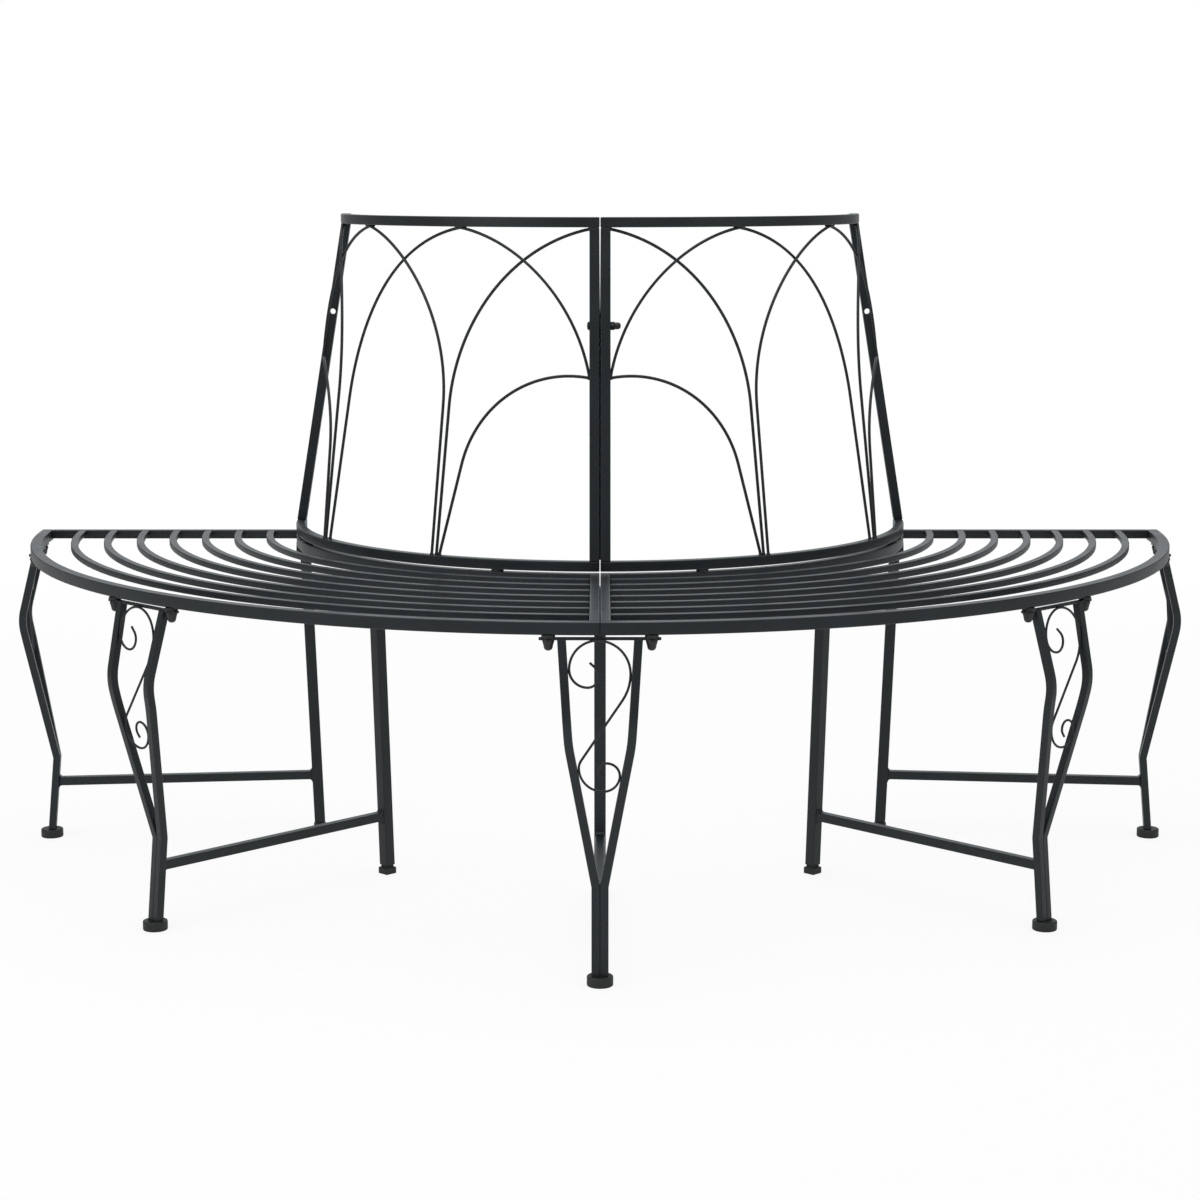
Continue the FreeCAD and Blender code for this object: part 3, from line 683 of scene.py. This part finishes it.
# %% [markdown]
# The scroll is held by four short welds where it meets the two front tubes. The stretcher
# has a weld all round at both ends. A weld is a rod whose thickness swells and shrinks a
# little, the way the pool freezes in ripples. All of them are made once, for a leg at the
# middle of the world, and copied to the five legs.

# %% Welds of the legs
WELD_SIZE, WELD_HALF_LENGTH = 2.6 * MM, 2.2 * MM
END_WELD_SIZE, END_WELD_DEPTH = 2.0 * MM, 0.3 * MM
WELD_PITCH, WELD_THIN_END = 1.3 * MM, 0.6
WELD_RIPPLE, RIPPLE_TURN = 0.16, 2.1
WELD_ASIDE = 0.45


def weld_line(points, size):
    """A weld bead along points, with ripples and with thin ends."""
    swell = [1.0 + WELD_RIPPLE * sin(RIPPLE_TURN * i) for i in range(len(points))]
    swell[0] = swell[-1] = WELD_THIN_END
    return round_rod(points, size, swell)


def evenly(start, end):
    """Points from start to end, about one weld pitch apart."""
    steps = max(2, round((end - start).length / WELD_PITCH))
    return [start + (end - start) * i / steps for i in range(steps + 1)]


def middle_leg(radius, side, z):
    """A point of the leg that stands at the middle of the world."""
    return leg_place(radius, side, z, 0) - Vector((0, tree_y, 0))


beads = []
for upper, slope in ((True, upper_slope), (False, lower_slope)):
    part = [p for p in flat_scroll if (p.y > BOW_HEIGHT) == upper]
    for side in (-1, 1):
        spot = min(part, key=lambda p: gap_to_tube(side * p.x, p.y, slope))
        out = outer_rail_centre + scroll_out(spot.y)
        x = spot.x + side * SCROLL_WIRE * WELD_ASIDE
        low, high = spot.y - WELD_HALF_LENGTH, spot.y + WELD_HALF_LENGTH
        tilt = side * slope * WELD_HALF_LENGTH
        beads.append(weld_line(evenly(middle_leg(out, x - tilt, low),
                                      middle_leg(out, x + tilt, high)), WELD_SIZE))

bar_low, bar_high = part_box("front_leg_stretcher")
half = bar_high.x - END_WELD_DEPTH
for y in (bar_low.y, bar_high.y):
    corners = [(-half, bar_low.z), (half, bar_low.z), (half, bar_high.z), (-half, bar_high.z)]
    corners = [Vector((x, y - tree_y, z)) for x, z in corners]
    for start, end in zip(corners, corners[1:] + corners[:1]):
        beads.append(weld_line(evenly(start, end), END_WELD_SIZE))
leg_welds = copies_at(join(beads), [(Vector((0, tree_y, 0)), angle) for angle in LEG_ANGLES],
                      "leg_welds", weld_coat)
print(leg_welds.name, len(leg_welds.data.polygons), "faces")

# %% [markdown]
# ## Feet, plugs and cap nuts
#
# These small parts are all mouldings, and each kind occurs many times. One of each is
# modelled round the origin, then copied to every site that the solid model has. The
# sites are worked out the way the drawing gives them: pairs of studs through the plates,
# and one foot under each column.

# %% Sites of the small parts
FRONT_STUD_PITCH, REAR_STUD_PITCH = 118 * MM, 44 * MM
REAR_TOP_IN, REAR_FOOT_IN = 4.5 * MM, 19 * MM
REAR_TUBE_BOTTOM = 12 * MM
BACK_BOLT_ANGLE = radians(18)
FRONT_FOOT_IN = 5 * MM

inner_rail_low, inner_rail_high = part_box("right_seat_inner_rail")
RAIL_SIZE = inner_rail_high.z - inner_rail_low.z
inner_rail_centre = inner_rail_high.x - RAIL_SIZE / 2
back_foot = back_rail_low.z


def stud_places(z):
    """Places of the four studs of every leg, and which leg each one belongs to."""
    places = []
    for angle in LEG_ANGLES:
        for radius, pitch in ((outer_rail_centre, FRONT_STUD_PITCH),
                              (inner_rail_centre, REAR_STUD_PITCH)):
            for side in (-pitch / 2, pitch / 2):
                places.append((leg_place(radius, side, z, angle), angle))
    return places


def back_bolt_places(z):
    """Places of the four bolts through the inner rail that hold the backrest."""
    angles = (BACK_BOLT_ANGLE, RIGHT_ANGLE - BACK_BOLT_ANGLE,
              RIGHT_ANGLE + BACK_BOLT_ANGLE, pi - BACK_BOLT_ANGLE)
    return [(ring_point(inner_rail_centre, angle, z), -angle) for angle in angles]


print(len(stud_places(0)), "studs and", len(back_bolt_places(0)), "bolts under the backrest")


# %% Edit-mode helpers for turned and square mouldings
def cylinder(vertices, radius, height, up=1):
    """An upright cylinder with one end on Z = 0; it hangs down if up is negative."""
    bpy.ops.object.select_all(action="DESELECT")
    bpy.ops.mesh.primitive_cylinder_add(vertices=vertices, radius=radius, depth=height,
                                        location=(0, 0, up * height / 2))
    piece = bpy.context.object
    place_in_mesh(piece)
    return piece


def edit(piece):
    """Start to edit a piece by its faces, with none of them selected."""
    pick(piece)
    bpy.ops.object.mode_set(mode="EDIT")
    bpy.ops.mesh.select_mode(type="FACE")
    bpy.ops.mesh.select_all(action="DESELECT")


def pick_face(piece, up):
    """Select the one flat end face: the highest, or the lowest if up is negative."""
    bpy.ops.object.mode_set(mode="OBJECT")
    ends = [f for f in piece.data.polygons if f.normal.z * up > 0.99]
    chosen = max(ends, key=lambda f: f.center.z * up)
    for face in piece.data.polygons:
        face.select = face.index == chosen.index
    bpy.ops.object.mode_set(mode="EDIT")


def grow(height, size):
    """Extrude the selected end face by height and scale it by size about its middle."""
    bpy.ops.mesh.extrude_region_move(TRANSFORM_OT_translate={"value": (0, 0, height)})
    bpy.ops.transform.resize(value=(size, size, 1), center_override=(0, 0, 0))


def leave_edit(piece, smooth=SMOOTH_BELOW):
    """Turn all faces outwards, and smooth the edges below an angle in degrees."""
    bpy.ops.mesh.select_all(action="SELECT")
    bpy.ops.mesh.normals_make_consistent(inside=False)
    bpy.ops.object.mode_set(mode="OBJECT")
    pick(piece)
    bpy.ops.object.shade_smooth_by_angle(angle=radians(smooth))


def round_edges(piece, width, segments=3, limit=SMOOTH_BELOW):
    """Round the edges that are sharper than an angle in degrees."""
    pick(piece)
    bpy.ops.object.modifier_add(type="BEVEL")
    bevel = piece.modifiers[-1]
    bevel.width = width
    bevel.segments = segments
    bevel.limit_method = "ANGLE"
    bevel.angle_limit = radians(limit)
    bpy.ops.object.modifier_apply(modifier=bevel.name)
    bpy.ops.object.shade_smooth_by_angle(angle=radians(limit))


print("edit helpers ready")

# %% [markdown]
# A front foot is a low round puck. Both its edges are rounded, and a shallow socket on
# top takes the two tubes. It starts as a cylinder of the full diameter, and the socket
# is an inset pressed down into the upper face.

# %% Front feet
FOOT_DIAMETER, FOOT_HEIGHT, FOOT_EDGE, SOCKET_DEPTH = 31 * MM, 12 * MM, 1.5 * MM, 0.4 * MM
FOOT_RIM = FOOT_EDGE * 1.6

foot = cylinder(64, FOOT_DIAMETER / 2, FOOT_HEIGHT)
edit(foot)
pick_face(foot, 1)
bpy.ops.mesh.inset(thickness=FOOT_RIM)
bpy.ops.mesh.inset(thickness=FOOT_EDGE)
bpy.ops.transform.translate(value=(0, 0, -SOCKET_DEPTH))
leave_edit(foot)
round_edges(foot, FOOT_EDGE, 4)

front_foot_radius = outer_rail_centre - FRONT_FOOT_IN
foot_places = [(leg_place(front_foot_radius, 0, 0, angle), angle) for angle in LEG_ANGLES]
front_feet = copies_at(foot, foot_places, "front_feet_pucks", foot_plastic,
                       ["front_feet"])
print("front feet:", len(front_feet.data.polygons), "faces")

# %% [markdown]
# A rear foot is a plug for square tube: a wide square head that stands on the floor,
# with rounded edges, and a narrower neck up to the tube's end.

# %% Rear feet
REAR_FOOT_SIZE, REAR_FOOT_HEIGHT, REAR_NECK_SIZE = 17.5 * MM, 9 * MM, 12.5 * MM
REAR_FOOT_EDGE = 1.2 * MM

bpy.ops.object.select_all(action="DESELECT")
bpy.ops.mesh.primitive_cube_add(size=1, location=(0, 0, REAR_FOOT_HEIGHT / 2),
                                scale=(REAR_FOOT_SIZE, REAR_FOOT_SIZE, REAR_FOOT_HEIGHT))
plug = bpy.context.object
place_in_mesh(plug)
edit(plug)
pick_face(plug, 1)
bpy.ops.mesh.inset(thickness=(REAR_FOOT_SIZE - REAR_NECK_SIZE) / 2)
bpy.ops.mesh.extrude_region_move(
    TRANSFORM_OT_translate={"value": (0, 0, REAR_TUBE_BOTTOM - REAR_FOOT_HEIGHT)})
leave_edit(plug)
round_edges(plug, REAR_FOOT_EDGE)

rear_top_radius = inner_rail_centre - REAR_TOP_IN
rear_foot_radius = inner_rail_centre - REAR_FOOT_IN


def rear_radius(z):
    """How far the leaning rear tube is from the tree at a height."""
    return rear_foot_radius + (rear_top_radius - rear_foot_radius) * z / plate_underside


plug_radius = rear_radius(REAR_TUBE_BOTTOM)
plug_places = [(leg_place(plug_radius, 0, 0, angle), angle) for angle in LEG_ANGLES]
rear_feet = copies_at(plug, plug_places, "rear_feet_plugs", foot_plastic,
                      ["rear_feet"])
print("rear feet:", len(rear_feet.data.polygons), "faces")

# %% [markdown]
# A cap nut is screwed onto the stud below the plate. It is shaped like a bell: a soft
# shoulder against the plate, a tapering skirt and a well rounded end. Its profile is a
# list of depths and widths, and the end face grows from one to the next.

# %% Cap nuts under the plates
CAP_PROFILE = [(0.3, 11.8), (0.9, 13.2), (2.0, 14.0), (3.2, 13.8), (7.5, 11.3), (10.0, 10.4),
               (11.6, 9.4), (12.8, 7.6), (13.6, 5.0), (14.0, 2.2)]
BELL_SMOOTH_BELOW = 60

first_depth, first_width = CAP_PROFILE[0]
cap = cylinder(40, first_width / 2 * MM, first_depth * MM, -1)
edit(cap)
pick_face(cap, -1)
for (depth, width), (next_depth, next_width) in zip(CAP_PROFILE, CAP_PROFILE[1:]):
    grow((depth - next_depth) * MM, next_width / width)
leave_edit(cap, BELL_SMOOTH_BELOW)
cap_nuts = copies_at(cap, stud_places(plate_underside), "leg_cap_nuts_domed",
                     cap_plastic, ["leg_cap_nuts"])
print("cap nuts:", len(cap_nuts.data.polygons), "faces")


# %% Round spacers between the plates and the rails, and under the backrest
SPACER_SIZE, SPACER_LIP, SPACER_EDGE = 16 * MM, 1.5 * MM, 0.6 * MM


def spacer_model(height, diameter):
    """A moulded washer with a rounded rim."""
    washer = cylinder(40, diameter / 2, height)
    edit(washer)
    pick_face(washer, 1)
    bpy.ops.mesh.inset(thickness=SPACER_LIP)
    leave_edit(washer)
    round_edges(washer, SPACER_EDGE)
    return washer


leg_spacers = copies_at(spacer_model(rail_underside - plate_top, SPACER_SIZE),
                        stud_places(plate_top), "leg_spacer_washers",
                        cap_plastic, ["leg_spacers"])
back_spacers = copies_at(spacer_model(back_foot - seat_top, SPACER_SIZE),
                         back_bolt_places(seat_top), "backrest_spacer_washers",
                         cap_plastic, ["backrest_spacers"])
print("spacers:", len(leg_spacers.data.polygons) + len(back_spacers.data.polygons), "faces")

# %% [markdown]
# ## Bolts that hold the backrest
#
# Four bolts come up through the inner seat rail. Their low dome heads show from below.
# One longer bolt joins the two backrest panels where they meet: a flat domed head on the
# left, and on the right a nut with a plastic cap on the end of its thread.

# %% Bolt heads under the inner rail
BACK_BOLT_HEAD, BACK_BOLT_HEAD_HEIGHT = 12 * MM, 3.5 * MM
SOCKET_WIDTH, SOCKET_SHARE = 4 * MM, 0.5
HEAD_RIM, HEAD_DOME = 0.35, [(0.35, 0.86), (0.3, 0.66)]
HEAD_EDGE, DOME_SMOOTH_BELOW = 0.25 * MM, 40


def grow_dome(piece, height, steps):
    """Grow the top face in steps: a share of the whole height, then a change of width."""
    edit(piece)
    pick_face(piece, 1)
    for rise, size in steps:
        grow(height * rise, size)


def dome_head(diameter, height):
    """A low dome head with a round socket, on +Z: its flat side lies on Z = 0."""
    head = cylinder(48, diameter / 2, height * HEAD_RIM)
    grow_dome(head, height, HEAD_DOME)
    top_width = diameter * HEAD_DOME[0][1] * HEAD_DOME[1][1]
    bpy.ops.mesh.inset(thickness=(top_width - SOCKET_WIDTH) / 2)
    grow(-height * SOCKET_SHARE, 1.0)
    leave_edit(head, DOME_SMOOTH_BELOW)
    round_edges(head, HEAD_EDGE, 2, DOME_SMOOTH_BELOW)
    return head


under_head = dome_head(BACK_BOLT_HEAD, BACK_BOLT_HEAD_HEIGHT)
under_head.rotation_euler = (pi, 0, 0)
place_in_mesh(under_head)
back_bolts = copies_at(under_head, back_bolt_places(rail_underside), "backrest_bolt_heads",
                       bolt_steel, ["backrest_bolts"])
print("bolt heads:", len(back_bolts.data.polygons), "faces")

# %% The bolt, nut and cap that join the two backrest panels
BOLT_HOLE, FIT = 8 * MM, 0.1 * MM
SEAM_BOLT_HEAD, SEAM_BOLT_HEAD_HEIGHT = 11 * MM, 3 * MM
SEAM_NUT, SEAM_NUT_HEIGHT = 12 * MM, 5 * MM
SEAM_NUT_RIM, SEAM_NUT_EDGE, THREAD_EDGE = 1.2 * MM, 0.6 * MM, 0.5 * MM
SEAM_CAP, SEAM_CAP_HEIGHT, SEAM_CAP_EDGE = 9 * MM, 8 * MM, 0.5 * MM
SEAM_CAP_SKIRT, SEAM_CAP_DOME = 0.6, [(0.25, 0.8), (0.15, 0.55)]

seam_outside = SEAM_HALF_GAP + BACK_TUBE
bolt_share = (BOLT_HEIGHT - back_bottom) / (back_top - back_bottom)
bolt_radius = back_bottom_radius + (back_top_radius - back_bottom_radius) * bolt_share
bolt_axis = Vector((0, tree_y - bolt_radius, BOLT_HEIGHT))


def lay_along_x(piece, x, towards):
    """Turn a piece from +Z to +X or -X and put it on the bolt's axis."""
    piece.rotation_euler = (0, RIGHT_ANGLE * towards, 0)
    piece.location = bolt_axis + Vector((x, 0, 0))
    place_in_mesh(piece)
    return piece


seam_head = lay_along_x(dome_head(SEAM_BOLT_HEAD, SEAM_BOLT_HEAD_HEIGHT), -seam_outside, -1)
shank = cylinder(32, BOLT_HOLE / 2 - FIT, 2 * seam_outside + SEAM_NUT_HEIGHT)
round_edges(shank, THREAD_EDGE, 2)
lay_along_x(shank, -seam_outside, 1)
finish_piece(join([seam_head, shank]), "seam_bolt_with_dome_head", bolt_steel,
             ["seam_bolt"])

nut = cylinder(6, SEAM_NUT / 2, SEAM_NUT_HEIGHT)
edit(nut)
pick_face(nut, 1)
bpy.ops.mesh.inset(thickness=SEAM_NUT_RIM)
leave_edit(nut)
round_edges(nut, SEAM_NUT_EDGE, 2)
finish_piece(lay_along_x(nut, seam_outside, 1), "seam_hex_nut", bolt_steel,
             ["seam_nut"])

thread_cap = cylinder(40, SEAM_CAP / 2, SEAM_CAP_HEIGHT * SEAM_CAP_SKIRT)
grow_dome(thread_cap, SEAM_CAP_HEIGHT, SEAM_CAP_DOME)
leave_edit(thread_cap, DOME_SMOOTH_BELOW)
round_edges(thread_cap, SEAM_CAP_EDGE, 2, DOME_SMOOTH_BELOW)
finish_piece(lay_along_x(thread_cap, seam_outside + SEAM_NUT_HEIGHT, 1), "seam_nut_cap_dome",
             cap_plastic, ["seam_nut_cap"])
print("seam bolt on its axis at", [round(v, 4) for v in bolt_axis])

# %% [markdown]
# ## Floor, light and camera
#
# The bench stands on a plain pale floor. The camera sees the world as white, and the
# floor as nearly white round the bench and as white further out. To all other rays the
# floor is matt and the world is softer, so the background adds no more light to the
# steel than that. A big softbox hangs above, one stands at the left in front, and a weak
# one fills from the right. A wide one stands behind: seen from the front, the tops of
# rails and slats lie so flat to the view that they mirror it, which draws the light
# lines along the seat. Its light is a little cooler than that of the others.

# %% Floor
FLOOR_WHITENESS, WHITENS_FROM, WHITE_FROM = 0.86, 1.2, 3.2

bpy.ops.object.select_all(action="DESELECT")
bpy.ops.mesh.primitive_plane_add(size=60, location=(0, 0, 0))
floor = bpy.context.object
floor.name = "studio_floor"
floor_material, tree, shader, place = new_material("matt_white_floor")
speck = add_node(tree, "ShaderNodeTexNoise", {"Vector": place, "Scale": 40.0, "Detail": 2.0})
tone = add_node(tree, "ShaderNodeMix", {"Factor": speck.outputs["Fac"], "A": linear("#FAFAFA"),
                                        "B": linear("#FFFFFF")}, data_type="RGBA")
tree.links.new(tone.outputs["Result"], shader.inputs["Base Color"])
shader.inputs["Roughness"].default_value = 0.9
shader.inputs["Specular IOR Level"].default_value = 0.2
distance = add_node(tree, "ShaderNodeVectorMath", {0: place}, operation="LENGTH")
far = add_node(tree, "ShaderNodeMapRange", {"Value": distance.outputs["Value"],
                                            "From Min": WHITENS_FROM, "From Max": WHITE_FROM,
                                            "To Min": FLOOR_WHITENESS})
seen = add_node(tree, "ShaderNodeLightPath").outputs["Is Camera Ray"]
share = add_node(tree, "ShaderNodeMath", {0: far.outputs[0], 1: seen}, operation="MULTIPLY")
white = add_node(tree, "ShaderNodeEmission", {"Color": (1, 1, 1, 1), "Strength": 1.0})
mix = add_node(tree, "ShaderNodeMixShader", {0: share.outputs[0], 1: shader.outputs["BSDF"],
                                             2: white.outputs["Emission"]})
output = next(node for node in tree.nodes if node.type == "OUTPUT_MATERIAL")
tree.links.new(mix.outputs["Shader"], output.inputs["Surface"])
floor.data.materials.append(floor_material)

# %% World and lamps
WORLD_LIGHT = 0.4
world = bpy.data.worlds.new("studio")
bpy.context.scene.world = world
world.use_nodes = True
tree = world.node_tree
tree.nodes.clear()
seen = add_node(tree, "ShaderNodeLightPath").outputs["Is Camera Ray"]
soft = add_node(tree, "ShaderNodeBackground", {"Color": (1, 1, 1, 1), "Strength": WORLD_LIGHT})
plain = add_node(tree, "ShaderNodeBackground", {"Color": (1, 1, 1, 1), "Strength": 1.0})
mix = add_node(tree, "ShaderNodeMixShader", {0: seen, 1: soft.outputs["Background"],
                                             2: plain.outputs["Background"]})
output = add_node(tree, "ShaderNodeOutputWorld", {"Surface": mix.outputs["Shader"]})


def softbox(name, place, target, size, power, colour="#FFFFFF"):
    """A square area lamp that shines from its place at the target."""
    bpy.ops.object.light_add(type="AREA", location=place)
    lamp = bpy.context.object
    lamp.name = name
    lamp.data.shape = "SQUARE"
    lamp.data.size = size
    lamp.data.energy = power
    lamp.data.color = linear(colour)[:3]
    lamp.rotation_euler = (Vector(target) - Vector(place)).to_track_quat("-Z", "Y").to_euler()
    return lamp


bench_middle = (0, 0, 0.4)
softbox("softbox_above", (0, -0.3, 3.2), bench_middle, 3.0, 60)
softbox("softbox_left", (-3.0, -2.2, 2.0), bench_middle, 2.0, 24)
softbox("softbox_right", (3.2, -2.0, 1.6), bench_middle, 2.0, 7)
softbox("softbox_behind", (0, 3.8, 2.2), bench_middle, 4.0, 29, "#F0FAFF")
print("lamps set round", bench_middle)

# %% Camera at the viewing point of the photograph
CAMERA_PLACE, CAMERA_PITCH = (0, -3.32941, 0.93096), radians(9.16)
CAMERA_LENS, SENSOR_WIDTH = 78.78, 36
bpy.ops.object.camera_add(location=CAMERA_PLACE, rotation=(RIGHT_ANGLE - CAMERA_PITCH, 0, 0))
camera = bpy.context.object
camera.name = "studio_camera"
camera.data.sensor_width = SENSOR_WIDTH
camera.data.lens = CAMERA_LENS
bpy.context.scene.camera = camera
bpy.context.scene.view_settings.view_transform = "Standard"
print("camera", [round(v, 3) for v in camera.location], "lens", camera.data.lens)
